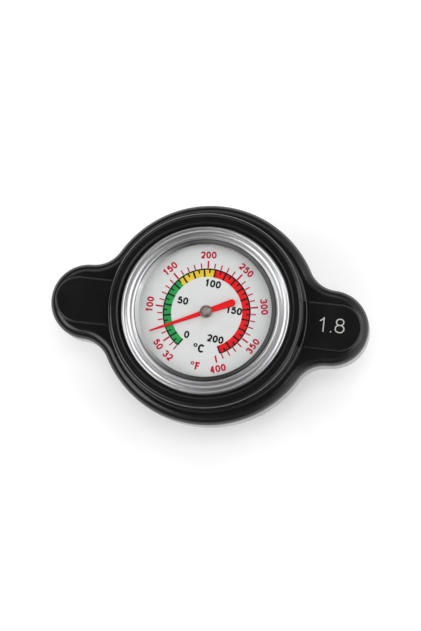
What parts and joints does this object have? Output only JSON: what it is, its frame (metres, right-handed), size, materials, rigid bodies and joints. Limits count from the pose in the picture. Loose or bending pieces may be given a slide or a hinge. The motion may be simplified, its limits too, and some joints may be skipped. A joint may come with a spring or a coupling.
{
  "type": "radiator cap thermometer",
  "caption": "Winged bayonet radiator cap with a dial thermometer in its collar, a probe stem, and spring-loaded pressure and vacuum valves below.",
  "frame": {"origin": "on the cap's axis, at the rim of the filler neck that the upper gasket seals on", "axes": "+Z along the axis, out of the neck towards the dial; +X along the wings; +Y towards the dial's top, 5 degrees off it"},
  "size_m": [0.0768, 0.053, 0.048],
  "materials": {
    "shell_plastic": "satin moulded, fine grain",
    "bezel_steel": "spun stainless band with a polished slope",
    "ring_steel": "polished ring under the glass",
    "plain_steel": "zinc plated pressing",
    "spring_steel": "drawn stainless wire and strip",
    "stem_steel": "drawn stainless tube",
    "lens_glass": "clear flat glass",
    "dial_silver": "silver grey, printed",
    "pointer_red": "satin red",
    "hub_metal": "turned, satin",
    "valve_brass": "turned brass",
    "bimetal_strip": "rolled strip",
    "seal_rubber": "moulded rubber",
    "washer_fibre": "pressed fibre"
  },
  "bodies": {
    "cap": {"cap_shell": "shell_plastic", "lock_plate": "plain_steel", "case_washer": "washer_fibre", "gauge_case": "plain_steel", "dial": "dial_silver", "dial_spacer": "ring_steel", "lens_gasket": "seal_rubber", "lens": "lens_glass", "bezel": "bezel_steel", "stem_bush": "valve_brass", "clamp_nut": "plain_steel", "stem_tube": "stem_steel", "stem_plug": "stem_steel", "upper_bearing": "valve_brass", "lower_bearing": "valve_brass", "bimetal_coil": "bimetal_strip", "swivel_clip": "spring_steel", "stem_collar": "stem_steel"},
    "pointer": {"pointer": "pointer_red", "pointer_hub": "hub_metal", "staff": "stem_steel"},
    "seal_carrier": {"diaphragm": "spring_steel", "neck_gasket": "seal_rubber", "spring_seat": "plain_steel", "main_spring": "spring_steel"},
    "pressure_valve": {"pressure_plate": "valve_brass", "pressure_seal": "seal_rubber", "vacuum_clip": "spring_steel", "vacuum_spring": "spring_steel"},
    "vacuum_valve": {"vacuum_disc": "valve_brass", "vacuum_seal": "seal_rubber"}
  },
  "joints": [
    {"name": "pointer_sweep", "type": "hinge", "parent": "cap", "child": "pointer", "pos_m": [0, 0, 0.0097], "axis": [0, 0, -1], "range_deg": [-30, 270], "stiffness_Nm_per_rad": 0.00005, "deforming": ["bimetal_coil"]},
    {"name": "seal_swivel", "type": "hinge", "parent": "cap", "child": "seal_carrier", "pos_m": [0, 0, 0], "axis": [0, 0, 1], "continuous": true},
    {"name": "pressure_lift", "type": "slide", "parent": "seal_carrier", "child": "pressure_valve", "axis": [0, 0, 1], "range_m": [0, 0.003], "stiffness_N_per_m": 8000, "deforming": ["main_spring"]},
    {"name": "vacuum_drop", "type": "slide", "parent": "pressure_valve", "child": "vacuum_valve", "axis": [0, 0, -1], "range_m": [0, 0.0012], "stiffness_N_per_m": 400, "deforming": ["vacuum_spring"]}
  ]
}
